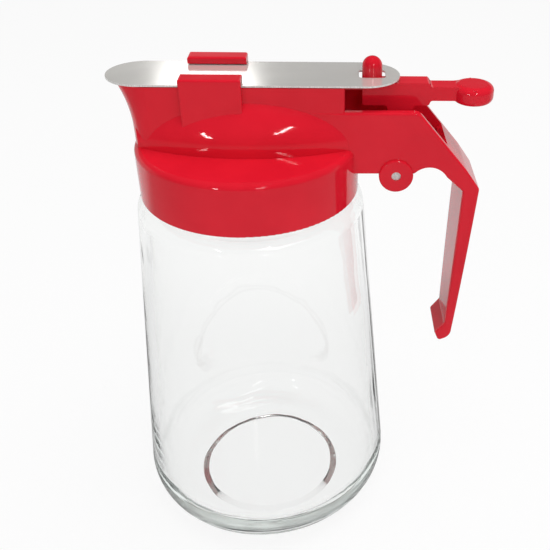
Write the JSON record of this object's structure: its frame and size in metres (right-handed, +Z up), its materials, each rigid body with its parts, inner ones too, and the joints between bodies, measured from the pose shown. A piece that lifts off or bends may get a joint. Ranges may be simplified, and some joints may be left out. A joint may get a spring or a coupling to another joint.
{
  "type": "sauce dispenser",
  "caption": "Clear glass sauce jar with a red plastic cap, hanging side grip, open-topped spout and a thumb lever that slides a flat steel blade off the spout.",
  "frame": {"origin": "centre of the jar's base, on the plane that the jar stands on", "axes": "+Z up along the jar's axis, +X from the spout towards the handle"},
  "size_m": [0.1155, 0.0862, 0.1623],
  "materials": {
    "clear_glass": "clear",
    "red_plastic": "gloss",
    "steel": "fine brushed"
  },
  "bodies": {
    "base": {"jar": "clear_glass", "cap": "red_plastic", "pivot_pin": "steel"},
    "blade": {"blade": "steel"},
    "lever": {"lever": "red_plastic"}
  },
  "joints": [
    {"name": "lever_pivot", "type": "hinge", "parent": "base", "child": "lever", "pos_m": [0.0439, 0, 0.13], "axis": [0, 1, 0], "range_deg": [0, 24], "stiffness_Nm_per_rad": 0.15, "springref_deg": -28.65},
    {"name": "blade_slide", "type": "slide", "parent": "base", "child": "blade", "axis": [1, 0, 0], "range_m": [0, 0.0115]}
  ],
  "couplings": [
    {"joint": "lever_pivot", "follows": "blade_slide", "rad_per_m": 36.42}
  ]
}
